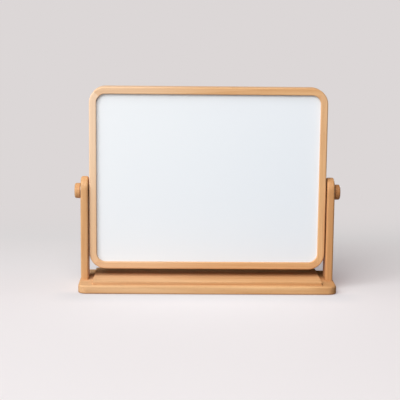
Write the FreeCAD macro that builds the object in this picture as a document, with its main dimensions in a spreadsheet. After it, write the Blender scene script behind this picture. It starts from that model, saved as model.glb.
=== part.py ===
import FreeCAD, Part
import os
import re

import Sketcher

# A desk whiteboard easel. X runs along the base, Y runs from front to back, Z is up.
# The origin is on the desk, under the middle of the base. All lengths are in millimetres.

SIZES = {
    # base
    "base_depth": 103.0,
    "base_thickness": 10.9,
    "base_end_margin": 1.9,
    "base_corner_radius": 12.0,
    "base_top_rounding": 2.5,
    "base_bottom_rounding": 0.8,
    "tray_ledge": 7.0,
    "tray_end_gap": 7.3,
    "tray_thickness": 4.0,
    "tray_corner_radius": 1.5,
    "tray_edge_rounding": 0.8,
    # rubber feet
    "foot_diameter": 14.0,
    "foot_thickness": 0.6,
    "foot_edge_chamfer": 0.2,
    "foot_inset": 17.0,
    # uprights
    "upright_thickness": 10.2,
    "upright_depth": 33.0,
    "upright_above_pivot": 19.9,
    "upright_rounding": 2.5,
    "pivot_hole_clearance": 0.3,
    # screws through the base into the uprights
    "screw_diameter": 3.5,
    "screw_length": 32.0,
    "screw_tip_length": 4.0,
    "screw_head_diameter": 7.2,
    "screw_head_recess": 0.3,
    "screw_spacing": 18.0,
    "screw_hole_clearance": 0.25,
    "screw_slot_width": 1.0,
    "screw_slot_length": 3.6,
    "screw_slot_depth": 1.4,
    # board frame
    "frame_width": 322.4,
    "frame_above_pivot": 142.9,
    "frame_below_pivot": 106.6,
    "frame_tray_clearance": 10.7,
    "frame_depth": 24.0,
    "member_width": 9.8,
    "frame_corner_radius": 22.0,
    "frame_outer_rounding": 2.0,
    "frame_inner_rounding": 1.2,
    # dowels across the mitres
    "dowel_diameter": 3.0,
    "dowel_length": 10.0,
    "dowel_end_chamfer": 0.5,
    "dowel_end_gap": 0.5,
    "dowel_spacing": 12.0,
    # panel
    "core_thickness": 15.0,
    "sheet_thickness": 0.5,
    "groove_depth": 3.5,
    "panel_edge_clearance": 0.3,
    "panel_face_clearance": 0.05,
    # pivots
    "stud_diameter": 5.0,
    "stud_end_chamfer": 0.5,
    "stud_thread_clearance": 0.05,
    "stud_depth_in_knob": 5.4,
    "insert_diameter": 7.4,
    "insert_length": 5.5,
    "spacer_diameter": 16.0,
    "spacer_thickness": 1.3,
    "washer_diameter": 15.0,
    "washer_thickness": 1.0,
    "running_gap": 0.1,
    "glue_gap": 0.05,
    # knobs
    "knob_diameter": 20.8,
    "knob_thickness": 7.8,
    "knob_dome": 0.8,
    "knob_front_rounding": 2.4,
    "knob_back_rounding": 0.6,
    # how far a cutting shape runs past the face it opens
    "cut_overrun": 1.0,
}

RIGHT = 1
LEFT = -1
FRONT = -1
REAR = 1

MITRE_ANGLE = 45.0
FULL_TURN = 360.0
HALF_TURN = 180.0
QUARTER_TURN = 90.0

# Sizes that follow from the driving ones, in words that formula() turns into cell references.
PLATE_TOP = "(foot_thickness + base_thickness)"
PIVOT_RISE = "(tray_thickness + frame_tray_clearance + frame_below_pivot)"
PIVOT_HEIGHT = f"({PLATE_TOP} + {PIVOT_RISE})"
FRAME_HEIGHT = "(frame_above_pivot + frame_below_pivot)"
FRAME_CENTRE = f"({PIVOT_HEIGHT} + (frame_above_pivot - frame_below_pivot) / 2)"
UPRIGHT_INNER = "(frame_width / 2 + spacer_thickness + running_gap)"
UPRIGHT_MIDDLE = f"({UPRIGHT_INNER} + upright_thickness / 2)"
UPRIGHT_OUTER = f"({UPRIGHT_INNER} + upright_thickness)"
UPRIGHT_HEIGHT = f"({PIVOT_RISE} + upright_above_pivot)"
BASE_LENGTH = f"(2 * ({UPRIGHT_OUTER} + base_end_margin))"
TRAY_LENGTH = f"(2 * ({UPRIGHT_INNER} - tray_end_gap))"
WASHER_INNER = f"({UPRIGHT_OUTER} + running_gap)"
KNOB_INNER = f"({WASHER_INNER} + washer_thickness + running_gap)"
STUD_INNER = "(frame_width / 2 - insert_length + stud_end_chamfer)"
STUD_LENGTH = f"({KNOB_INNER} + stud_depth_in_knob - {STUD_INNER})"
PANEL_THICKNESS = "(core_thickness + 2 * sheet_thickness)"
PANEL_INSET = "(member_width - groove_depth + panel_edge_clearance)"
OPENING_RADIUS = "(frame_corner_radius - member_width)"
DOWEL_RADIAL = "(frame_corner_radius - (member_width - groove_depth) / 2)"
SCREW_HEAD_HEIGHT = "((screw_head_diameter - screw_diameter) / 2)"

WORD = re.compile(r"[a-z][a-z_]*")


def formula(words):
    """Turn the name of each size in a formula into a reference to its cell."""
    return WORD.sub(lambda name: f"sizes.{name[0]}" if name[0] in SIZES else name[0], words)


def bind(thing, where, words):
    """Make one property of an object follow a formula."""
    thing.setExpression(where, formula(words))


def value(thing, words):
    return float(thing.evalExpression(formula(words)))


def write_sizes(document):
    sheet = document.addObject("Spreadsheet::Sheet", "sizes")
    for row, (name, size) in enumerate(SIZES.items(), start=1):
        sheet.set(f"A{row}", name)
        sheet.set(f"B{row}", str(size))
        sheet.setAlias(f"B{row}", name)
    document.recompute()


def new_body(document, label):
    body = document.addObject("PartDesign::Body", label)
    body.Label = label
    return body


def origin_plane(body, role):
    return next(plane for plane in body.Origin.OriginFeatures if plane.Role == role)


def new_sketch(body, plane, name, shift=("0", "0", "0")):
    """A sketch on one of the body's own planes, its origin shifted in the sketch's own axes."""
    sketch = body.newObject("Sketcher::SketchObject", name)
    sketch.AttachmentSupport = [(origin_plane(body, plane), "")]
    sketch.MapMode = "FlatFace"
    for axis, words in zip("xyz", shift):
        bind(sketch, f"AttachmentOffset.Base.{axis}", words)
    return sketch


def pin(sketch, curve, end, axis, words):
    """Hold one point of a curve at a formula's distance from the sketch's origin."""
    rule = Sketcher.Constraint(f"Distance{axis}", -1, 1, curve, end, value(sketch, words))
    bind(sketch, f"Constraints[{sketch.addConstraint(rule)}]", words)


def arc_between(here, there, centre):
    """An arc of less than half a turn, and whether it runs backwards from there to here."""
    start, finish = here - centre, there - centre
    backwards = start.x * finish.y - start.y * finish.x < 0
    if backwards:
        start, finish = finish, start
    axis = FreeCAD.Vector(0, 0, 1)
    circle = Part.Circle(centre, axis, start.Length)
    ends = circle.parameter(centre + start), circle.parameter(centre + finish)
    return Part.ArcOfCircle(circle, *ends), backwards


def draw(sketch, start, moves):
    """Draw a closed outline. A move is the next point, and for an arc its centre too."""
    point = {words: FreeCAD.Vector(value(sketch, words[0]), value(sketch, words[1]), 0)
             for words in [start] + [move[:2] for move in moves]}
    here = start
    chain = []
    for move in moves:
        there = move[:2]
        if len(move) == 2:
            curve = Part.LineSegment(point[here], point[there])
            backwards = False
        else:
            centre = FreeCAD.Vector(value(sketch, move[2]), value(sketch, move[3]), 0)
            curve, backwards = arc_between(point[here], point[there], centre)
        number = sketch.addGeometry(curve)
        near, far = (2, 1) if backwards else (1, 2)
        chain.append((number, near, far))
        pin(sketch, number, far, "X", there[0])
        pin(sketch, number, far, "Y", there[1])
        if len(move) > 2:
            gap = point[there] - point[here]
            axis, words = ("X", move[2]) if abs(gap.y) > abs(gap.x) else ("Y", move[3])
            pin(sketch, number, 3, axis, words)
        here = there
    for before, after in zip(chain, chain[1:] + chain[:1]):
        joint = Sketcher.Constraint("Coincident", before[0], before[2], after[0], after[1])
        sketch.addConstraint(joint)


def draw_circle(sketch, across, up, radius):
    centre = FreeCAD.Vector(value(sketch, across), value(sketch, up), 0)
    axis = FreeCAD.Vector(0, 0, 1)
    number = sketch.addGeometry(Part.Circle(centre, axis, value(sketch, radius)))
    pin(sketch, number, 3, "X", across)
    pin(sketch, number, 3, "Y", up)
    rule = Sketcher.Constraint("Radius", number, value(sketch, radius))
    bind(sketch, f"Constraints[{sketch.addConstraint(rule)}]", radius)


def draw_rounded_rectangle(sketch, width, height, radius):
    """A rectangle about the sketch's origin with four round corners."""
    right, top = f"{width} / 2", f"{height} / 2"
    left, bottom = f"-{width} / 2", f"-{height} / 2"
    inner_right, inner_left = f"{right} - {radius}", f"{left} + {radius}"
    inner_top, inner_bottom = f"{top} - {radius}", f"{bottom} + {radius}"
    draw(sketch, (inner_left, bottom), [
        (inner_right, bottom),
        (right, inner_bottom, inner_right, inner_bottom),
        (right, inner_top),
        (inner_right, top, inner_right, inner_top),
        (inner_left, top),
        (left, inner_top, inner_left, inner_top),
        (left, inner_bottom),
        (inner_left, bottom, inner_left, inner_bottom),
    ])


def draw_cross(sketch, up, arm, half_width):
    """A plus sign, its middle on the sketch's vertical axis."""
    corners = [(arm, f"-{half_width}"), (arm, half_width), (half_width, half_width),
               (half_width, arm), (f"-{half_width}", arm), (f"-{half_width}", half_width),
               (f"-{arm}", half_width), (f"-{arm}", f"-{half_width}"),
               (f"-{half_width}", f"-{half_width}"), (f"-{half_width}", f"-{arm}"),
               (half_width, f"-{arm}"), (half_width, f"-{half_width}")]
    points = [(across, f"{up} + {rise}") for across, rise in corners]
    draw(sketch, points[-1], points)


def add_pad(body, sketch, name, length, side="One side", backwards=False):
    pad = body.newObject("PartDesign::Pad", name)
    pad.Profile = sketch
    pad.SideType = side
    pad.Reversed = backwards
    bind(pad, "Length", length)
    body.Document.recompute()
    return pad


def add_pocket(body, sketch, name, depth, backwards=False):
    pocket = body.newObject("PartDesign::Pocket", name)
    pocket.Profile = sketch
    pocket.Reversed = backwards
    bind(pocket, "Length", depth)
    body.Document.recompute()
    return pocket


def add_revolution(body, sketch, name, axis, angle=FULL_TURN, backwards=False):
    turn = body.newObject("PartDesign::Revolution", name)
    turn.Profile = sketch
    turn.ReferenceAxis = (sketch, [axis])
    turn.Angle = angle
    turn.Reversed = backwards
    body.Document.recompute()
    return turn


def add_mirror(body, originals, name, plane):
    mirror = body.newObject("PartDesign::Mirrored", name)
    mirror.Originals = originals
    mirror.MirrorPlane = (origin_plane(body, plane), [""])
    body.Tip = mirror
    body.Document.recompute()
    return mirror


def add_edge_feature(body, kind, name, where, words, wanted):
    """Round or chamfer the edges of the body's last feature that a test picks out."""
    base = body.Tip
    edges = enumerate(base.Shape.Edges, start=1)
    names = [f"Edge{number}" for number, edge in edges if wanted(edge)]
    feature = body.newObject(f"PartDesign::{kind}", name)
    feature.Base = (base, names)
    body.Tip = feature
    bind(feature, where, words)
    body.Document.recompute()
    return feature


def round_edges(body, name, radius, wanted):
    return add_edge_feature(body, "Fillet", name, "Radius", radius, wanted)


def chamfer_edges(body, name, size, wanted):
    return add_edge_feature(body, "Chamfer", name, "Size", size, wanted)


def cut_cylinder(body, name, radius, length, base, direction=None):
    """Cut a round hole that starts at a point and runs along a direction, first upwards."""
    hole = body.newObject("PartDesign::SubtractiveCylinder", name)
    hole.AttachmentSupport = [(origin_plane(body, "XY_Plane"), "")]
    hole.MapMode = "FlatFace"
    up = FreeCAD.Vector(0, 0, 1)
    turn = FreeCAD.Rotation(up, direction) if direction else FreeCAD.Rotation()
    hole.AttachmentOffset = FreeCAD.Placement(FreeCAD.Vector(), turn)
    for axis, words in zip("xyz", base):
        bind(hole, f"AttachmentOffset.Base.{axis}", words)
    bind(hole, "Radius", radius)
    bind(hole, "Height", length)
    body.Tip = hole
    body.Document.recompute()
    return hole


def place(body, across="0", back="0", up="0", turn=None):
    """Put a body in its place, turned about its own origin first."""
    body.Placement = FreeCAD.Placement(FreeCAD.Vector(), turn or FreeCAD.Rotation())
    for axis, words in zip("xyz", (across, back, up)):
        bind(body, f"Placement.Base.{axis}", words)
    return body


def about(axis, angle):
    return FreeCAD.Rotation(axis, angle)


def outward_turn(side):
    """Turns a piece made along +X to point outwards on either side of the board."""
    return about(FreeCAD.Vector(0, 0, 1), 0 if side == RIGHT else HALF_TURN)


def flat_at(axis, height):
    """A test for edges that lie in one plane square to an axis."""
    def wanted(edge):
        box = edge.BoundBox
        ends = getattr(box, f"{axis}Min"), getattr(box, f"{axis}Max")
        return all(abs(end - height) < Part.Precision.approximation() for end in ends)
    return wanted


def base_plate(document):
    """The long plate with rounded corners, drilled from below for the uprights' screws."""
    body = new_body(document, "base_plate")
    outline = new_sketch(body, "XY_Plane", "plate_outline")
    draw_rounded_rectangle(outline, BASE_LENGTH, "base_depth", "base_corner_radius")
    add_pad(body, outline, "plate", "base_thickness")
    top = value(body, "base_thickness")
    round_edges(body, "top_rounding", "base_top_rounding", flat_at("Z", top))
    round_edges(body, "bottom_rounding", "base_bottom_rounding", flat_at("Z", 0))
    for side in (LEFT, RIGHT):
        for row in (FRONT, REAR):
            drill_countersunk(body, side, row)
    return place(body, up="foot_thickness")


def drill_countersunk(body, side, row):
    """One clearance hole with a cone below for the screw's head."""
    across = f"{side} * {UPRIGHT_MIDDLE}"
    along = f"{row} * screw_spacing / 2"
    number = (side + 1) + (row + 1) // 2
    radius = "(screw_diameter / 2 + screw_hole_clearance)"
    cut_cylinder(body, f"screw_hole_{number}", radius, "base_thickness + 2 * cut_overrun",
                 (across, along, "-cut_overrun"))
    mouth = "(screw_head_diameter / 2 + screw_head_recess + glue_gap)"
    cone = body.newObject("PartDesign::SubtractiveCone", f"countersink_{number}")
    cone.AttachmentSupport = [(origin_plane(body, "XY_Plane"), "")]
    cone.MapMode = "FlatFace"
    bind(cone, "AttachmentOffset.Base.x", across)
    bind(cone, "AttachmentOffset.Base.y", along)
    bind(cone, "AttachmentOffset.Base.z", "-cut_overrun")
    bind(cone, "Radius1", f"{mouth} + cut_overrun")
    bind(cone, "Radius2", radius)
    bind(cone, "Height", f"{mouth} + cut_overrun - {radius}")
    body.Tip = cone
    body.Document.recompute()


def tray_block(document):
    """The low raised block that the markers are kept on."""
    body = new_body(document, "tray_block")
    outline = new_sketch(body, "XY_Plane", "block_outline")
    draw_rounded_rectangle(outline, TRAY_LENGTH, "(base_depth - 2 * tray_ledge)", "tray_corner_radius")
    add_pad(body, outline, "block", "tray_thickness")
    top = value(body, "tray_thickness")
    round_edges(body, "top_rounding", "tray_edge_rounding", flat_at("Z", top))
    return place(body, up=PLATE_TOP)


def foot_pad(document, label, side, row):
    body = new_body(document, label)
    outline = new_sketch(body, "XY_Plane", "pad_outline")
    draw_circle(outline, "0", "0", "foot_diameter / 2")
    add_pad(body, outline, "pad", "foot_thickness")
    chamfer_edges(body, "rim", "foot_edge_chamfer", flat_at("Z", 0))
    return place(body, f"{side} * ({BASE_LENGTH} / 2 - foot_inset)", f"{row} * (base_depth / 2 - foot_inset)")


def upright(document, label, side):
    """A post with a round top, a hole for the stud and two holes for the screws."""
    body = new_body(document, label)
    outline = new_sketch(body, "YZ_Plane", "post_outline")
    half = "upright_depth / 2"
    shoulder = f"{UPRIGHT_HEIGHT} - {half}"
    draw(outline, (f"-{half}", "0"), [
        (half, "0"),
        (half, shoulder),
        ("0", UPRIGHT_HEIGHT, "0", shoulder),
        (f"-{half}", shoulder, "0", shoulder),
        (f"-{half}", "0"),
    ])
    add_pad(body, outline, "post", "upright_thickness", side="Symmetric")
    face = value(body, "upright_thickness / 2")
    foot = flat_at("Z", 0)
    round_edges(body, "edge_rounding", "upright_rounding",
                lambda edge: (flat_at("X", face)(edge) or flat_at("X", -face)(edge)) and not foot(edge))
    across = FreeCAD.Vector(1, 0, 0)
    cut_cylinder(body, "pivot_hole", "stud_diameter / 2 + pivot_hole_clearance",
                 "upright_thickness + 2 * cut_overrun",
                 ("-upright_thickness / 2 - cut_overrun", "0", PIVOT_RISE), across)
    depth = "screw_length + screw_head_recess - base_thickness + glue_gap"
    for row in (FRONT, REAR):
        cut_cylinder(body, f"pilot_hole_{(row + 1) // 2}", "screw_diameter / 2 + glue_gap",
                     f"{depth} + cut_overrun",
                     ("0", f"{row} * screw_spacing / 2", "-cut_overrun"))
    return place(body, f"{side} * {UPRIGHT_MIDDLE}", up=PLATE_TOP)


def upright_screws(document, label, side):
    """Two countersunk wood screws with cross slots, heads down, one in front of the other."""
    body = new_body(document, label)
    profile = new_sketch(body, "XZ_Plane", "screw_profile", ("0", "0", "screw_spacing / 2"))
    head, shank = "screw_head_diameter / 2", "screw_diameter / 2"
    draw(profile, ("0", "0"), [
        (head, "0"),
        (shank, SCREW_HEAD_HEIGHT),
        (shank, "screw_length - screw_tip_length"),
        ("0", "screw_length"),
        ("0", "0"),
    ])
    screw = add_revolution(body, profile, "screw", "V_Axis")
    add_mirror(body, [screw], "second_screw", "XZ_Plane")
    slots = new_sketch(body, "XY_Plane", "slot_outlines")
    for row in (FRONT, REAR):
        draw_cross(slots, f"{row} * screw_spacing / 2", "screw_slot_length / 2", "screw_slot_width / 2")
    add_pocket(body, slots, "slots", "screw_slot_depth", backwards=True)
    return place(body, f"{side} * {UPRIGHT_MIDDLE}", up="foot_thickness + screw_head_recess")


def member_section(body, name, corner, reach):
    """The section of a frame member, with the panel's groove, about a corner's centre line."""
    shift = ("0", f"{reach} - frame_corner_radius", corner)
    section = new_sketch(body, "YZ_Plane", name, shift)
    side, inside, outside = "frame_depth / 2", OPENING_RADIUS, "frame_corner_radius"
    groove = f"({PANEL_THICKNESS} / 2 + panel_face_clearance)"
    bottom = f"{inside} + groove_depth"
    inner, outer = "frame_inner_rounding", "frame_outer_rounding"
    draw(section, (groove, inside), [
        (f"{side} - {inner}", inside),
        (side, f"{inside} + {inner}", f"{side} - {inner}", f"{inside} + {inner}"),
        (side, f"{outside} - {outer}"),
        (f"{side} - {outer}", outside, f"{side} - {outer}", f"{outside} - {outer}"),
        (f"-{side} + {outer}", outside),
        (f"-{side}", f"{outside} - {outer}", f"-{side} + {outer}", f"{outside} - {outer}"),
        (f"-{side}", f"{inside} + {inner}"),
        (f"-{side} + {inner}", inside, f"-{side} + {inner}", f"{inside} + {inner}"),
        (f"-{groove}", inside),
        (f"-{groove}", bottom),
        (groove, bottom),
        (groove, inside),
    ])
    return section


def frame_member(document, label, length, reach, turn, pivot_side=None):
    """A rail or stile, made as if it were the top rail and then turned about the frame's middle.

    length is the frame's size along the member, and reach is how far out its outer face lies.
    """
    body = new_body(document, label)
    corner = f"({length} / 2 - frame_corner_radius)"
    section = member_section(body, "section", corner, reach)
    add_pad(body, section, "straight", f"2 * {corner}", backwards=True)
    end_section = member_section(body, "end_section", corner, reach)
    bend = add_revolution(body, end_section, "round_end", "H_Axis", MITRE_ANGLE)
    add_mirror(body, [bend], "other_round_end", "YZ_Plane")
    for end in (LEFT, RIGHT):
        for row in (FRONT, REAR):
            cut_dowel_hole(body, end, row, corner, reach)
    if pivot_side:
        along = f"{pivot_side} * ({FRAME_HEIGHT} / 2 - frame_below_pivot)"
        floor = f"{reach} - insert_length - glue_gap"
        cut_cylinder(body, "insert_hole", "insert_diameter / 2 + glue_gap",
                     "insert_length + glue_gap + cut_overrun", (along, "0", floor))
    return place(body, up=FRAME_CENTRE, turn=about(FreeCAD.Vector(0, 1, 0), turn))


def cut_dowel_hole(body, end, row, corner, reach):
    """A hole square to the mitre, half of it in this member."""
    radius = "dowel_diameter / 2 + glue_gap"
    half = "(dowel_length / 2 + dowel_end_gap)"
    diagonal = f"cos({MITRE_ANGLE})"
    base = (f"{end} * ({corner} + {DOWEL_RADIAL} * {diagonal} - {half} * {diagonal})",
            f"{row} * dowel_spacing / 2",
            f"{reach} - frame_corner_radius + {DOWEL_RADIAL} * {diagonal} + {half} * {diagonal}")
    name = f"dowel_hole_{(end + 1) + (row + 1) // 2}"
    cut_cylinder(body, name, radius, f"2 * {half}", base, FreeCAD.Vector(end, 0, -1))


def corner_dowels(document, label, side, level):
    """Two dowels across one mitre, side by side, in the solid wood outside the groove."""
    body = new_body(document, label)
    outline = new_sketch(body, "XY_Plane", "dowel_outlines")
    for row in (FRONT, REAR):
        draw_circle(outline, "0", f"{row} * dowel_spacing / 2", "dowel_diameter / 2")
    add_pad(body, outline, "dowels", "dowel_length", side="Symmetric")
    end = value(body, "dowel_length / 2")
    chamfer_edges(body, "dowel_ends", "dowel_end_chamfer",
                  lambda edge: flat_at("Z", end)(edge) or flat_at("Z", -end)(edge))
    out = f"(frame_corner_radius - {DOWEL_RADIAL} * cos({MITRE_ANGLE}))"
    turn = about(FreeCAD.Vector(0, 1, 0), side * level * MITRE_ANGLE * -1)
    return place(body, f"{side} * (frame_width / 2 - {out})",
                 up=f"{FRAME_CENTRE} + {level} * ({FRAME_HEIGHT} / 2 - {out})", turn=turn)


def panel_layer(document, label, thickness, back):
    """One flat layer of the panel, which reaches into the frame's groove all round."""
    body = new_body(document, label)
    outline = new_sketch(body, "XZ_Plane", "layer_outline")
    draw_rounded_rectangle(outline, f"(frame_width - 2 * {PANEL_INSET})",
                           f"({FRAME_HEIGHT} - 2 * {PANEL_INSET})",
                           f"(frame_corner_radius - {PANEL_INSET})")
    add_pad(body, outline, "layer", thickness, side="Symmetric")
    return place(body, back=back, up=FRAME_CENTRE)


def ring(document, label, outer, inner, thickness, start, side):
    """A flat ring or sleeve about the pivot's line, from start outwards."""
    body = new_body(document, label)
    outline = new_sketch(body, "YZ_Plane", "ring_outline")
    draw_circle(outline, "0", "0", outer)
    draw_circle(outline, "0", "0", inner)
    add_pad(body, outline, "ring", thickness)
    return place(body, f"{side} * {start}", up=PIVOT_HEIGHT, turn=outward_turn(side))


def knob(document, label, side):
    """A turned knob with a slightly domed face and a blind hole for its stud."""
    body = new_body(document, label)
    profile = new_sketch(body, "XZ_Plane", "knob_profile")
    radius, shoulder = "knob_diameter / 2", "knob_thickness - knob_dome"
    dome_radius = f"((({radius}) ^ 2 + knob_dome ^ 2) / (2 * knob_dome))"
    hole, depth = "stud_diameter / 2 + glue_gap", "stud_depth_in_knob + glue_gap"
    draw(profile, ("0", hole), [
        ("0", radius),
        (shoulder, radius),
        ("knob_thickness", "0", f"knob_thickness - {dome_radius}", "0"),
        (depth, "0"),
        (depth, hole),
        ("0", hole),
    ])
    add_revolution(body, profile, "turned_knob", "H_Axis")
    edge = value(body, shoulder)
    rim = value(body, radius)
    round_edges(body, "front_rounding", "knob_front_rounding", flat_at("X", edge))
    round_edges(body, "back_rounding", "knob_back_rounding",
                lambda piece: flat_at("X", 0)(piece) and piece.BoundBox.YLength > rim)
    return place(body, f"{side} * {KNOB_INNER}", up=PIVOT_HEIGHT, turn=outward_turn(side))


def knob_stud(document, label, side):
    """The threaded stud, drawn at its outer diameter, with a chamfer at each end."""
    body = new_body(document, label)
    profile = new_sketch(body, "XZ_Plane", "stud_profile")
    radius, chamfer = "stud_diameter / 2", "stud_end_chamfer"
    draw(profile, ("0", "0"), [
        (STUD_LENGTH, "0"),
        (STUD_LENGTH, f"{radius} - {chamfer}"),
        (f"{STUD_LENGTH} - {chamfer}", radius),
        (chamfer, radius),
        ("0", f"{radius} - {chamfer}"),
        ("0", "0"),
    ])
    add_revolution(body, profile, "stud", "H_Axis")
    return place(body, f"{side} * {STUD_INNER}", up=PIVOT_HEIGHT, turn=outward_turn(side))


def stand_pieces(document):
    pieces = [base_plate(document), tray_block(document)]
    for word, side in (("left", LEFT), ("right", RIGHT)):
        pieces.append(upright(document, f"{word}_upright", side))
        pieces.append(upright_screws(document, f"{word}_upright_screws", side))
        pieces.append(foot_pad(document, f"front_{word}_foot_pad", side, FRONT))
        pieces.append(foot_pad(document, f"rear_{word}_foot_pad", side, REAR))
    return pieces


def board_pieces(document):
    half_width, half_height = "frame_width / 2", f"{FRAME_HEIGHT} / 2"
    pieces = [
        frame_member(document, "frame_top_rail", "frame_width", half_height, 0),
        frame_member(document, "frame_bottom_rail", "frame_width", half_height, HALF_TURN),
        frame_member(document, "frame_right_stile", FRAME_HEIGHT, half_width, QUARTER_TURN, RIGHT),
        frame_member(document, "frame_left_stile", FRAME_HEIGHT, half_width, -QUARTER_TURN, LEFT),
        panel_layer(document, "board_core", "core_thickness", "0"),
    ]
    sheet_back = "(core_thickness + sheet_thickness) / 2"
    pieces.append(panel_layer(document, "front_writing_sheet", "sheet_thickness", f"-{sheet_back}"))
    pieces.append(panel_layer(document, "rear_writing_sheet", "sheet_thickness", sheet_back))
    for word, side in (("left", LEFT), ("right", RIGHT)):
        pieces.append(corner_dowels(document, f"top_{word}_dowels", side, 1))
        pieces.append(corner_dowels(document, f"bottom_{word}_dowels", side, -1))
        bore = "stud_diameter / 2 + stud_thread_clearance"
        pieces.append(ring(document, f"{word}_threaded_insert", "insert_diameter / 2", bore,
                           "insert_length", "(frame_width / 2 - insert_length)", side))
        hole = "stud_diameter / 2 + pivot_hole_clearance"
        pieces.append(ring(document, f"{word}_spacer_washer", "spacer_diameter / 2", hole,
                           "spacer_thickness", "frame_width / 2", side))
    return pieces


def knob_pieces(document):
    pieces = []
    for word, side in (("left", LEFT), ("right", RIGHT)):
        pieces.append(knob(document, f"{word}_knob", side))
        pieces.append(knob_stud(document, f"{word}_knob_stud", side))
        hole = "stud_diameter / 2 + stud_thread_clearance"
        pieces.append(ring(document, f"{word}_knob_washer", "washer_diameter / 2", hole,
                           "washer_thickness", WASHER_INNER, side))
    return pieces


def check(document, pieces):
    """Stop if any object failed or any piece is not a sound solid."""
    for thing in document.Objects:
        if "Invalid" in thing.State or "Error" in thing.State:
            raise RuntimeError(f"{thing.Label} failed: {thing.State}")
    for piece in pieces:
        shape = piece.Shape
        if shape.isNull() or not shape.isValid() or not shape.Solids:
            raise RuntimeError(f"{piece.Label} is not a sound solid")


def main():
    document = FreeCAD.newDocument("easel")
    write_sizes(document)
    pieces = stand_pieces(document) + board_pieces(document) + knob_pieces(document)
    document.recompute()
    check(document, pieces)
    os.makedirs("parts", exist_ok=True)
    for piece in pieces:
        piece.Shape.exportStep(os.path.join("parts", f"{piece.Label}.step"))
        print(piece.Label, len(piece.Shape.Solids), round(piece.Shape.Volume, 2))


main()
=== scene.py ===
import math

import bmesh
import bpy
from mathutils import Matrix, Vector


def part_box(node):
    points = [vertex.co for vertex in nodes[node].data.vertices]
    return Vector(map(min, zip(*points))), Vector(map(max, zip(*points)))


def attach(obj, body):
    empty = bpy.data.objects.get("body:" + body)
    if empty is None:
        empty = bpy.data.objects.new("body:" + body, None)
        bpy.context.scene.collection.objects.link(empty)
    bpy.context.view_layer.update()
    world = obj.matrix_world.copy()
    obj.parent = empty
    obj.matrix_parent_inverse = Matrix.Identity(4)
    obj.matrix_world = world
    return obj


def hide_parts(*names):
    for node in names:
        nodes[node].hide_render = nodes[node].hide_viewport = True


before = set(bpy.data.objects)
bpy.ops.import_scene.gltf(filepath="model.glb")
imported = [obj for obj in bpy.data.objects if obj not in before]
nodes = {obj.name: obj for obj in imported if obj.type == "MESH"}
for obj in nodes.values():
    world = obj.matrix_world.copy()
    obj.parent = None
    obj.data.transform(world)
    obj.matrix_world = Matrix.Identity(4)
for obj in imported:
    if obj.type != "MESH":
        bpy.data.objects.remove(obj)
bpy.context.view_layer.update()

# The looks of a desk whiteboard easel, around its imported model. All lengths are in metres.

SIDES = ("left", "right")

# Colours, written as they look on a screen, from 0 to 255.
WOOD_LIGHT = (230, 183, 134)
WOOD_DARK = (200, 145, 94)
# Paler and deeper wood, for each piece's own tone and for the painted light and painted shade on
# it.
WOOD_PALE = (248, 222, 198)
WOOD_DEEP = (168, 108, 58)
WOOD_FLECK = (158, 100, 54)
CORE_LIGHT = (190, 160, 126)
CORE_DARK = (164, 132, 98)
BOARD_WHITE = (240, 242, 245)
BOARD_SHADE = (229, 234, 241)
ZINC = (196, 198, 200)
BRASS = (214, 178, 104)
RUBBER = (34, 34, 36)
FIBRE_LIGHT = (112, 70, 40)
FIBRE_DARK = (82, 48, 26)
FLOOR_NEAR = (240, 242, 243)
FLOOR_BACK = (240, 237, 237)
FLOOR_FOOT_SHADE = (221, 228, 231)
FLOOR_LIT = (237, 232, 232)
FLOOR_SHADE = (243, 218, 218)
FLOOR_BOUNCE = (165, 161, 160)
BACKDROP = (220, 215, 215)
BLACK = (0, 0, 0)


def linear(colour):
    """The linear colour that shows on a screen as the given one, with full opacity."""
    shares = [part / 255 for part in colour]
    return [s / 12.92 if s <= 0.04045 else ((s + 0.055) / 1.055) ** 2.4 for s in shares] + [1.0]


def changed(colour, share, more=0.0):
    """The linear colour times a share, and a little more added to it."""
    return [part * share + more for part in linear(colour)[:3]] + [1.0]


def shaded(colour, shade):
    """A wood colour made paler by a shade below zero, and deeper by one above."""
    other = WOOD_DEEP if shade > 0 else WOOD_PALE
    return [here + (there - here) * abs(shade) for here, there in zip(colour, other)]


class Tree:
    """A small helper that adds nodes to a material or a world and joins them."""

    def __init__(self, owner, output):
        owner.use_nodes = True
        self.tree = owner.node_tree
        self.tree.nodes.clear()
        self.output = self.add(output)

    def add(self, kind, inputs=None, **settings):
        node = self.tree.nodes.new(kind)
        for name, setting in settings.items():
            setattr(node, name, setting)
        for name, source in (inputs or {}).items():
            self.join(source, node.inputs[name])
        return node

    def join(self, source, socket):
        if isinstance(source, bpy.types.NodeSocket):
            self.tree.links.new(source, socket)
        else:
            socket.default_value = source

    def math(self, operation, *values):
        return self.add("ShaderNodeMath", dict(enumerate(values)), operation=operation).outputs[0]

    def shown(self):
        """One for a ray that shows how a place looks, and zero for one that carries its light."""
        rays = self.add("ShaderNodeLightPath").outputs
        either = self.math("MAXIMUM", rays["Is Camera Ray"], rays["Is Glossy Ray"])
        return self.math("MAXIMUM", either, rays["Is Transmission Ray"])


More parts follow.
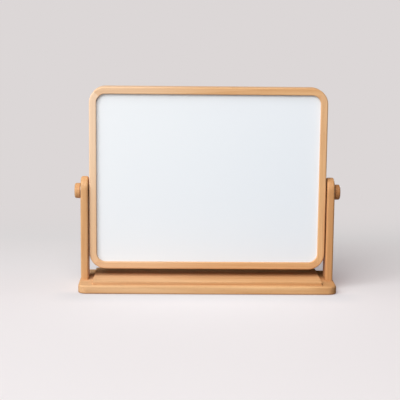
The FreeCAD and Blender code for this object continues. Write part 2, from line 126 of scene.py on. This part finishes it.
class Shader(Tree):
    """A material of nodes, which starts from the places on the object."""

    def __init__(self, name):
        self.material = bpy.data.materials.new(name)
        super().__init__(self.material, "ShaderNodeOutputMaterial")
        self.where = self.add("ShaderNodeTexCoord").outputs["Object"]

    def weighted(self, *pairs):
        """The sum of each source times its weight."""
        total = 0.0
        for source, weight in pairs:
            total = self.math("MULTIPLY_ADD", source, weight, total)
        return total

    def vector_math(self, operation, *values):
        node = self.add("ShaderNodeVectorMath", dict(enumerate(values)), operation=operation)
        return node.outputs["Value" if operation == "LENGTH" else "Vector"]

    def mix(self, share, first, second):
        """A colour between two linear ones. The node keeps its sockets for colours at 6 and 7."""
        return self.add("ShaderNodeMix", {0: share, 6: first, 7: second},
                        data_type="RGBA").outputs[2]

    def noise(self, where, detail=3.0, roughness=0.5, output="Fac"):
        node = self.add("ShaderNodeTexNoise", {
            "Vector": where, "Scale": 1.0, "Detail": detail, "Roughness": roughness})
        return node.outputs[output]

    def place(self, where, shift=(0, 0, 0), turn=(0, 0, 0), scale=(1, 1, 1)):
        node = self.add("ShaderNodeMapping", {
            "Vector": where, "Location": shift, "Rotation": turn, "Scale": scale})
        return node.outputs["Vector"]

    def even_noise(self, cells, detail=2.0, roughness=0.5):
        """Noise with as many cells in a metre along every axis."""
        return self.noise(self.place(self.where, scale=(cells, cells, cells)), detail, roughness)

    def axes(self, where):
        return self.add("ShaderNodeSeparateXYZ", {"Vector": where}).outputs

    def spread(self, source, low, high, new_low=0.0, new_high=1.0, smooth=False):
        node = self.add("ShaderNodeMapRange", {
            "Value": source, "From Min": low, "From Max": high,
            "To Min": new_low, "To Max": new_high},
            interpolation_type="SMOOTHERSTEP" if smooth else "LINEAR")
        return node.outputs["Result"]

    def bump(self, height, strength, distance, below=None):
        inputs = {"Height": height, "Strength": strength, "Distance": distance}
        if below is not None:
            inputs["Normal"] = below
        return self.add("ShaderNodeBump", inputs).outputs["Normal"]

    def surface(self, **inputs):
        named = {name.replace("_", " "): source for name, source in inputs.items()}
        node = self.add("ShaderNodeBsdfPrincipled", named)
        self.join(node.outputs["BSDF"], self.output.inputs["Surface"])
        return self.material


# The part of a noise that is spread over a whole range, from its low to its high places.
MIDDLE = (0.3, 0.7)
FIBRE_RANGE = (0.34, 0.66)
STREAK_RANGE = (0.36, 0.64)
FLECK_RANGE = (0.34, 0.12)
FLECKED_RANGE = (0.5, 0.62)

# How each grain direction turns so that the grain runs along the shader's Z.
GRAIN_TURN = {"x": (0, math.radians(-90), 0), "z": (0, 0, 0)}
SECOND_TILT = 0.6

# The growth rings, with the sway of their lines.
RINGS_PER_METRE = 420.0
RING_SWAY = 0.012
SWAY_CELLS = (9, 9, 2.2)
LATE_WOOD_POWER = 2.4

# How many cells of each mark of the wood there are in a metre: across, deep and along the grain.
FIBRE_CELLS = (900, 900, 16)
FINE_CELLS = (3200, 3200, 70)
PATCH_CELLS = (26, 26, 5)
STREAK_CELLS = (230, 230, 7)
FLECK_CELLS = (1500, 1500, 260)
FLECKED_CELLS = (400, 400, 90)

# How much each mark does to the wood's colour, its roughness and its relief.
LATE_SHARE, FIBRE_SHARE, STREAK_SHARE, PATCH_SHARE, FINE_SHARE = 0.20, 0.24, 0.34, 0.16, 0.06
FLECK_SHARE = 0.30
WOOD_ROUGH, FLECK_ROUGH = (0.46, 0.56), 0.12
FINE_RELIEF, FLECK_RELIEF, LATE_RELIEF = 0.5, -0.8, -0.25
WOOD_BUMP = {"strength": 0.35, "distance": 0.00006}

# The tool lines of a turned piece, in radians to a metre.
TOOL_LINES = 9000.0
TOOL_BUMP = {"strength": 0.12, "distance": 0.00004}


def growth_rings(shader, along, pith):
    """How near a place is to the dark late wood of its growth ring."""
    sway = shader.noise(shader.place(along, scale=SWAY_CELLS), 2.0, output="Color")
    centred = shader.vector_math("SUBTRACT", sway, (0.5, 0.5, 0.5))
    drifted = shader.vector_math("MULTIPLY_ADD", centred, (RING_SWAY, RING_SWAY, 0.0), along)
    axes = shader.axes(drifted)
    across = shader.math("SUBTRACT", axes["X"], pith[0])
    deep = shader.math("SUBTRACT", axes["Y"], pith[1])
    squares = shader.math("MULTIPLY_ADD", across, across, shader.math("MULTIPLY", deep, deep))
    turns = shader.math("MULTIPLY", shader.math("SQRT", squares), RINGS_PER_METRE)
    return shader.math("POWER", shader.math("FRACT", turns), LATE_WOOD_POWER)


def wood(name, grain, shift, pith, tilt=0.0, shade=0.0, painted_light=(), turned=None, gloss=0.27):
    """Light hardwood with growth rings, streaks, fine fibres, short flecks and a thin lacquer.

    Each entry of painted_light is an axis, two places along it, and how much paler (below zero)
    or deeper the wood is painted at the first of them, which wears off towards the second: painted
    light and painted shade, by how the lamps fall on the piece.
    A turned piece has fine tool lines about a point on its axis, which runs along X.
    """
    shader = Shader(name)
    along = shader.place(shader.where, shift=shift, turn=GRAIN_TURN[grain])
    along = shader.place(along, turn=(tilt, tilt * SECOND_TILT, 0))
    late = growth_rings(shader, along, pith)
    fibres = shader.noise(shader.place(along, scale=FIBRE_CELLS), 4.0, 0.6)
    fine = shader.noise(shader.place(along, scale=FINE_CELLS), 2.0)
    patches = shader.noise(shader.place(along, scale=PATCH_CELLS), 2.0)
    streaks = shader.noise(shader.place(along, scale=STREAK_CELLS), 3.0, 0.6)
    cells = shader.add("ShaderNodeTexVoronoi", {
        "Vector": shader.place(along, scale=FLECK_CELLS), "Scale": 1.0})
    flecked = shader.noise(shader.place(along, scale=FLECKED_CELLS))
    fleck = shader.math("MULTIPLY", shader.spread(cells.outputs["Distance"], *FLECK_RANGE),
                        shader.spread(flecked, *FLECKED_RANGE))

    share = shader.weighted((late, LATE_SHARE),
                            (shader.spread(fibres, *FIBRE_RANGE), FIBRE_SHARE),
                            (shader.spread(streaks, *STREAK_RANGE), STREAK_SHARE),
                            (shader.spread(patches, *MIDDLE), PATCH_SHARE),
                            (shader.spread(fine, *MIDDLE), FINE_SHARE))
    colour = shader.mix(share, linear(shaded(WOOD_LIGHT, shade)), linear(shaded(WOOD_DARK, shade)))
    colour = shader.mix(shader.math("MULTIPLY", fleck, FLECK_SHARE), colour, linear(WOOD_FLECK))
    # Painted light and painted shade: the wood made paler or deeper along an axis.
    for axis, start, end, amount in painted_light:
        other = WOOD_DEEP if amount > 0 else WOOD_PALE
        much = shader.spread(shader.axes(shader.where)[axis], start, end, abs(amount), 0.0,
                             smooth=True)
        colour = shader.mix(much, colour, linear(other))

    rough = shader.weighted((shader.spread(fibres, *MIDDLE, *WOOD_ROUGH), 1.0),
                            (fleck, FLECK_ROUGH))
    relief = shader.weighted((fine, FINE_RELIEF), (fleck, FLECK_RELIEF), (late, LATE_RELIEF))
    normal = shader.bump(relief, **WOOD_BUMP)
    if turned is not None:
        out = shader.vector_math("LENGTH", shader.vector_math("SUBTRACT", shader.where, turned))
        lines = shader.math("SINE", shader.math("MULTIPLY", out, TOOL_LINES))
        normal = shader.bump(lines, **TOOL_BUMP, below=normal)
    return shader.surface(Base_Color=colour, Roughness=rough, Normal=normal,
                          Specular_IOR_Level=gloss)


def pressed_fibres(name, light, dark, cells, detail, roughness, rough, strength, distance):
    """Pressed fibres of two tones, in as many cells to a metre along each axis."""
    shader = Shader(name)
    mottle = shader.noise(shader.place(shader.where, scale=cells), detail, roughness)
    colour = shader.mix(shader.spread(mottle, *MIDDLE), linear(light), linear(dark))
    return shader.surface(Base_Color=colour, Roughness=shader.spread(mottle, *MIDDLE, *rough),
                          Normal=shader.bump(mottle, strength, distance))


# How much painted shade the white coating takes across and downwards, where less light falls, and
# how much it darkens in wiped patches.
SHADE_ACROSS, SHADE_DOWN, SHADE_WIPED = 0.60, 0.36, 0.04
WIPED_CELLS, WIPED_TURN, WIPED_RANGE = (7, 7, 24), (0, 0.5, 0), (0.35, 0.7)
COATING_ROUGH, PEEL_ROUGH = (0.28, 0.30), 0.04


def writing_surface(name):
    """Smooth white dry-wipe coating on steel, very slightly uneven, with faint wiped patches and
    painted shade towards the right and the bottom.
    """
    shader = Shader(name)
    low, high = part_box("front_writing_sheet")
    waves = shader.even_noise(55, roughness=0.4)
    peel = shader.even_noise(900)
    wiped = shader.noise(shader.place(shader.where, turn=WIPED_TURN, scale=WIPED_CELLS),
                         roughness=0.55)
    axes = shader.axes(shader.where)
    # Painted shade across and down, and the wiped patches.
    painted_shade_and_wiped = shader.weighted((shader.spread(axes["X"], low.x, high.x), SHADE_ACROSS),
                           (shader.spread(axes["Z"], high.z, low.z), SHADE_DOWN),
                           (shader.spread(wiped, *MIDDLE), SHADE_WIPED))
    colour = shader.mix(painted_shade_and_wiped, linear(BOARD_WHITE), linear(BOARD_SHADE))
    rough = shader.weighted((shader.spread(wiped, *WIPED_RANGE, *COATING_ROUGH), 1.0),
                            (peel, PEEL_ROUGH))
    lower = shader.bump(waves, strength=0.15, distance=0.0002)
    normal = shader.bump(peel, strength=0.08, distance=0.00003, below=lower)
    return shader.surface(Base_Color=colour, Roughness=rough, Normal=normal,
                          Specular_IOR_Level=0.4, Coat_Weight=0.15, Coat_Roughness=0.12)


METAL_LINES = (6000, 900, 900)
METAL_DULL, METAL_UNEVEN, LINE_ROUGH = 0.72, 0.14, 0.08


def metal(name, colour, rough):
    """Plated or turned metal with fine lines and small differences in tone."""
    shader = Shader(name)
    cloud = shader.even_noise(260, detail=3.0, roughness=0.6)
    lines = shader.noise(shader.place(shader.where, scale=METAL_LINES), detail=2.0)
    tone = shader.mix(shader.spread(cloud, 0.3, 0.75), linear(colour), changed(colour, METAL_DULL))
    uneven = shader.weighted((shader.spread(cloud, *MIDDLE, rough, rough + METAL_UNEVEN), 1.0),
                             (lines, LINE_ROUGH))
    return shader.surface(Base_Color=tone, Roughness=uneven, Metallic=1.0,
                          Normal=shader.bump(lines, strength=0.2, distance=0.00002))


DUST_RANGE = (0.45, 0.75)
RUBBER_ROUGH = (0.68, 0.84)


def rubber(name):
    """Soft black rubber with a fine matt grain and a little dust."""
    shader = Shader(name)
    grain = shader.even_noise(2200, detail=3.0, roughness=0.6)
    dust = shader.even_noise(240, detail=4.0, roughness=0.6)
    dusty = changed(RUBBER, share=1.9, more=0.01)
    colour = shader.mix(shader.spread(dust, *DUST_RANGE), linear(RUBBER), dusty)
    return shader.surface(Base_Color=colour,
                          Roughness=shader.spread(grain, *MIDDLE, *RUBBER_ROUGH),
                          Normal=shader.bump(grain, strength=0.35, distance=0.00005))


def finish_node(name, material):
    data = nodes[name].data
    data.materials.clear()
    data.materials.append(material)
    for face in data.polygons:
        face.material_index = 0


def finish_wood():
    """Each wooden piece is cut from its own place in a board, with its own grain and tone, and
    painted light and shade: paler towards the upper left, deeper to the right and at the bottom.
    """
    frame_low, frame_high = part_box("frame_top_rail")
    left, right = frame_low.x, frame_high.x
    bottom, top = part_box("frame_bottom_rail")[0].z, frame_high.z
    middle = (bottom + top) / 2
    base_low, base_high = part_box("base_plate")
    tray_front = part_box("tray_block")[0].y
    left_stud, right_stud = (sum(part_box(f"{side}_knob_stud"), Vector()) / 2 for side in SIDES)
    woods = {
        "base_plate": wood(
            "base_wood", "x", shift=(0.11, 0.37, 0.05), tilt=0.012, pith=(0.06, 0.10), gloss=0.0,
            # Painted light paler to the left, painted shade at the right end, which faces away
            # from the lamps, and along the bottom edge.
            painted_light=[("X", left, right, -0.10),
                   ("X", base_high.x, base_high.x - 0.05, 0.35),
                   ("Z", base_low.z + 0.0006, base_low.z + 0.0026, 0.45)]),
        "tray_block": wood(
            "tray_wood", "x", shift=(0.52, 0.11, 0.31), tilt=-0.010, pith=(0.02, 0.09), gloss=0.0,
            # Painted light paler to the left and deeper to the right, and painted shade on the
            # block's front face.
            painted_light=[("X", left, right, -0.12),
                   ("X", right, left, 0.12),
                   ("Y", tray_front + 0.0008, tray_front + 0.0024, 0.28)]),
        "left_upright": wood(
            "left_upright_wood", "z", shift=(0.31, 0.72, 0.12), tilt=0.015, pith=(0.07, 0.04),
            # Painted shade, deeper towards the bottom where the upright stands on the base.
            shade=0.06, painted_light=[("Z", 0, middle, 0.15)]),
        "right_upright": wood(
            "right_upright_wood", "z", shift=(0.83, 0.25, 0.44), tilt=-0.012, pith=(0.03, 0.08),
            # A deeper tone together with painted shade, as the right side gets less of the lamps'
            # light.
            shade=0.36),
        "frame_top_rail": wood(
            "top_rail_wood", "x", shift=(0.21, 0.93, 0.62), tilt=0.010, pith=(0.09, 0.05),
            # Painted light, paler towards the left end, where the lamps fall.
            painted_light=[("X", left, 0.06, -0.32)]),
        "frame_bottom_rail": wood(
            "bottom_rail_wood", "x", shift=(0.67, 0.48, 0.77), tilt=-0.011, pith=(0.05, 0.09),
            # Painted light paler towards the left end, and painted shade deeper towards the right
            # end.
            painted_light=[("X", left, 0.10, -0.20),
                   ("X", right, left, 0.12)]),
        "frame_left_stile": wood(
            "left_stile_wood", "z", shift=(0.45, 0.16, 0.91), tilt=0.009, pith=(0.08, 0.06),
            # Paler wood, with painted sheen and painted light from the lamps at the upper left,
            # most at the top.
            shade=-0.35, painted_light=[("Z", top, bottom, -0.50)]),
        "frame_right_stile": wood(
            "right_stile_wood", "z", shift=(0.97, 0.61, 0.28), tilt=-0.013, pith=(0.04, 0.07),
            # Painted light, a little paler towards the top.
            painted_light=[("Z", top, middle, -0.10)]),
        "left_knob": wood(
            "left_knob_wood", "x", shift=(0.58, 0.34, 0.19), tilt=0.02, pith=(0.012, 0.008),
            shade=0.18, turned=left_stud),
        "right_knob": wood(
            "right_knob_wood", "x", shift=(0.14, 0.82, 0.53), tilt=-0.02, pith=(0.010, 0.012),
            # Deeper wood together with painted shade, as the knob sits in the right upright's
            # shadow.
            shade=0.8, turned=right_stud),
    }
    for name, material in woods.items():
        finish_node(name, material)


def finish_the_rest():
    """The dowels, the panel and the fittings. Pieces of one stuff share its material."""
    dowel_wood = wood("dowel_wood", "z", shift=(0.4, 0.2, 0.7), pith=(0.03, 0.02), shade=-0.2)
    white = writing_surface("white_coating")
    zinc = metal("zinc_plating", ZINC, rough=0.28)
    brass = metal("brass_metal", BRASS, rough=0.30)
    black_rubber = rubber("black_rubber")
    brown_fibre = pressed_fibres(
        "brown_fibre", FIBRE_LIGHT, FIBRE_DARK, cells=(700, 700, 700), detail=4.0, roughness=0.65,
        rough=(0.6, 0.75), strength=0.3, distance=0.00004)
    core_board = pressed_fibres(
        "core_board", CORE_LIGHT, CORE_DARK, cells=(600, 1500, 600), detail=5.0, roughness=0.7,
        rough=(0.75, 0.9), strength=0.5, distance=0.0001)
    finish_node("board_core", core_board)
    finish_node("front_writing_sheet", white)
    finish_node("rear_writing_sheet", white)
    for side in SIDES:
        finish_node(f"top_{side}_dowels", dowel_wood)
        finish_node(f"bottom_{side}_dowels", dowel_wood)
        finish_node(f"{side}_upright_screws", zinc)
        finish_node(f"{side}_knob_stud", zinc)
        finish_node(f"{side}_knob_washer", zinc)
        finish_node(f"{side}_threaded_insert", brass)
        finish_node(f"{side}_spacer_washer", brown_fibre)
        finish_node(f"front_{side}_foot_pad", black_rubber)
        finish_node(f"rear_{side}_foot_pad", black_rubber)
        add_threaded_stud(side, zinc)


# The metric thread of the studs.
THREAD_PITCH = 0.0008
THREAD_DEPTH_SHARE = 0.61
STEPS_PER_TURN = 24
RINGS_PER_PITCH = 6


def add_threaded_stud(side, material):
    """A fully threaded stud in the place of the plain one, its thread crest at the CAD radius."""
    low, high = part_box(f"{side}_knob_stud")
    centre = (low + high) / 2
    crest = (high.z - low.z) / 2
    length = high.x - low.x
    depth = THREAD_PITCH * THREAD_DEPTH_SHARE
    rings = round(length / THREAD_PITCH * RINGS_PER_PITCH)
    builder = bmesh.new()
    rows = []
    for ring in range(rings + 1):
        place = length * ring / rings
        to_end = min(place, length - place)
        limit = crest - depth + to_end
        row = []
        for step in range(STEPS_PER_TURN):
            turn = step / STEPS_PER_TURN
            climb = (place / THREAD_PITCH - turn) % 1.0
            radius = min(crest - depth * abs(2 * climb - 1), limit)
            angle = math.tau * turn
            spot = (low.x + place, centre.y + radius * math.cos(angle),
                    centre.z + radius * math.sin(angle))
            row.append(builder.verts.new(spot))
        rows.append(row)
    for here, there in zip(rows, rows[1:]):
        for step in range(STEPS_PER_TURN):
            after = (step + 1) % STEPS_PER_TURN
            builder.faces.new((here[step], here[after], there[after], there[step]))
    builder.faces.new(rows[0])
    builder.faces.new(rows[-1][::-1])
    bmesh.ops.recalc_face_normals(builder, faces=builder.faces)
    stud = add_mesh(f"{side}_threaded_stud", builder, material)
    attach(stud, f"{side}_knob")
    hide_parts(f"{side}_knob_stud")


def add_mesh(name, builder, material):
    mesh = bpy.data.meshes.new(name)
    builder.to_mesh(mesh)
    builder.free()
    mesh.materials.append(material)
    return add_object(name, mesh)


def add_object(name, data):
    thing = bpy.data.objects.new(name, data)
    bpy.context.scene.collection.objects.link(thing)
    return thing


FLOOR_RADIUS = 9.0
FLOOR_STEPS = 96
# Where the floor goes over from the colour near the object to the one behind it.
BACK_START, BACK_END = -0.06, 0.34
# The share of the floor's brightness that no shadow takes, and where it grows behind and around.
SHADOW_FILL = 0.34
FADE_START, FADE_END = 0.08, 0.65
ROUND_START, ROUND_END = 0.55, 1.2
# Where the floor goes over to the plain colour of the backdrop.
PLAIN_START, PLAIN_END = 0.9, 3.6
# The strip in front of the base, painted darker and cooler as painted shade against the warm light
# that the wood throws on it.
FOOT_HALF_WIDTH, FOOT_REACH, FOOT_DEPTH = 0.165, 0.06, 0.02


def floor_paper():
    """Pale paper, a part of whose brightness is a glow that no shadow takes.

    The near colour takes light and shadow, and fades out where the glow takes over. A ray that
    carries light, and doesn't show the paper, meets the bounce colour and no glow.
    """
    shader = Shader("floor_paper")
    axes = shader.axes(shader.where)
    away = shader.vector_math("LENGTH", shader.where)
    back = shader.spread(axes["Y"], BACK_START, BACK_END)
    around = shader.spread(away, ROUND_START, ROUND_END, smooth=True)
    behind = shader.spread(axes["Y"], FADE_START, FADE_END, SHADOW_FILL, 1.0, smooth=True)
    far = shader.math("MAXIMUM", behind, around)
    plain = shader.spread(away, PLAIN_START, PLAIN_END, smooth=True)
    shown = shader.shown()

    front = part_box("base_plate")[0].y
    width = shader.spread(shader.math("ABSOLUTE", axes["X"]), FOOT_HALF_WIDTH,
                          FOOT_HALF_WIDTH + FOOT_REACH, 1.0, 0.0, smooth=True)
    depth = shader.math("MULTIPLY",
                        shader.spread(axes["Y"], front - FOOT_REACH, front, smooth=True),
                        shader.spread(axes["Y"], front, front + FOOT_DEPTH, 1.0, 0.0))
    near_colour = shader.mix(back, linear(FLOOR_NEAR), linear(FLOOR_BACK))
    # Painted shade in front of the base, against the light that the wood throws on the floor.
    near_colour = shader.mix(shader.math("MULTIPLY", width, depth), near_colour,
                             linear(FLOOR_FOOT_SHADE))
    near_colour = shader.mix(far, near_colour, linear(BLACK))
    glow_colour = shader.mix(around, linear(FLOOR_SHADE), linear(FLOOR_LIT))
    glow_colour = shader.mix(shader.math("MAXIMUM", back, plain), glow_colour, linear(BACKDROP))
    return shader.surface(
        Base_Color=shader.mix(shown, linear(FLOOR_BOUNCE), near_colour), Roughness=0.9,
        Specular_IOR_Level=0.0, Emission_Color=glow_colour,
        Emission_Strength=shader.math("MULTIPLY", far, shown))


def make_floor():
    """A wide plain floor, which takes the plain colour of the backdrop far from the object."""
    builder = bmesh.new()
    bmesh.ops.create_circle(builder, cap_ends=True, segments=FLOOR_STEPS, radius=FLOOR_RADIUS)
    add_mesh("floor", builder, floor_paper())


def make_world():
    """A plain backdrop colour for what the camera sees, which lights nothing."""
    world = bpy.data.worlds.new("studio")
    tree = Tree(world, "ShaderNodeOutputWorld")
    backdrop = tree.add("ShaderNodeBackground", {"Color": linear(BACKDROP)})
    dark = tree.add("ShaderNodeBackground", {"Strength": 0.0})
    mix = tree.add("ShaderNodeMixShader", {
        0: tree.shown(), 1: dark.outputs["Background"], 2: backdrop.outputs["Background"]})
    tree.join(mix.outputs["Shader"], tree.output.inputs["Surface"])
    bpy.context.scene.world = world


# What the lights are aimed at, and how far from it the softbox stands.
LIT_POINT = Vector((0, 0, 0.13))
SOFTBOX_DISTANCE = 3.0
LIGHT_COLOUR = (0.98, 1.0, 1.0)


def hang(name, lamp, left, up, distance):
    """Aims a lamp from so many degrees left of the front and above the floor."""
    across, rise = math.radians(left), math.radians(up)
    towards = Vector((-math.sin(across) * math.cos(rise), -math.cos(across) * math.cos(rise),
                      math.sin(rise)))
    lamp.color = LIGHT_COLOUR
    light = add_object(name, lamp)
    light.location = LIT_POINT + towards * distance
    light.rotation_mode = "QUATERNION"
    light.rotation_quaternion = (-towards).to_track_quat("-Z", "Y")


def add_sun(name, left, up, strength, spread):
    """A distant light, which looks as wide from the object as the spread, in degrees."""
    lamp = bpy.data.lights.new(name, "SUN")
    lamp.energy = strength
    lamp.angle = math.radians(spread)
    hang(name, lamp, left, up, distance=1.0)


def add_softbox(name, left, up, strength, spread):
    """A round softbox that lights the object as strongly as a distant light of that strength."""
    half = math.radians(spread / 2)
    lamp = bpy.data.lights.new(name, "AREA")
    lamp.shape = "DISK"
    lamp.size = 2 * SOFTBOX_DISTANCE * math.tan(half)
    lamp.energy = strength * math.pi * (SOFTBOX_DISTANCE / math.cos(half)) ** 2
    hang(name, lamp, left, up, SOFTBOX_DISTANCE)


def make_lights():
    """A softbox and two smaller lights, all from the left in front, and a weak one behind."""
    add_softbox("softbox", left=30, up=50, strength=2.85, spread=60)
    add_sun("side_light", left=55, up=15, strength=0.94, spread=26)
    add_sun("front_light", left=20, up=32, strength=0.6, spread=26)
    add_sun("rear_light", left=210, up=2, strength=0.7, spread=12)


# The camera, from a fit to the edges of the object in the photograph.
CAMERA_PLACE = (-0.0452, -1.6514, 0.3938)
CAMERA_YAW = math.radians(1.21)
CAMERA_PITCH = math.radians(9.39)
CAMERA_ROLL = math.radians(0.56)
FOCAL_PIXELS = 1220.95
IMAGE_PIXELS = 400
SENSOR_WIDTH = 36.0


def make_camera():
    forward = Vector((math.sin(CAMERA_YAW) * math.cos(CAMERA_PITCH),
                      math.cos(CAMERA_YAW) * math.cos(CAMERA_PITCH), -math.sin(CAMERA_PITCH)))
    level = Vector((math.cos(CAMERA_YAW), -math.sin(CAMERA_YAW), 0))
    down = forward.cross(level)
    turn_cos, turn_sin = math.cos(CAMERA_ROLL), math.sin(CAMERA_ROLL)
    right = level * turn_cos - down * turn_sin
    lower = level * turn_sin + down * turn_cos
    data = bpy.data.cameras.new("camera")
    data.sensor_width = SENSOR_WIDTH
    data.lens = FOCAL_PIXELS / IMAGE_PIXELS * SENSOR_WIDTH
    camera = add_object("camera", data)
    axes = Matrix((right, -lower, -forward)).transposed().to_4x4()
    camera.matrix_world = Matrix.Translation(CAMERA_PLACE) @ axes
    bpy.context.scene.camera = camera


finish_wood()
finish_the_rest()
make_floor()
make_world()
make_lights()
make_camera()
bpy.context.scene.view_settings.view_transform = "Standard"
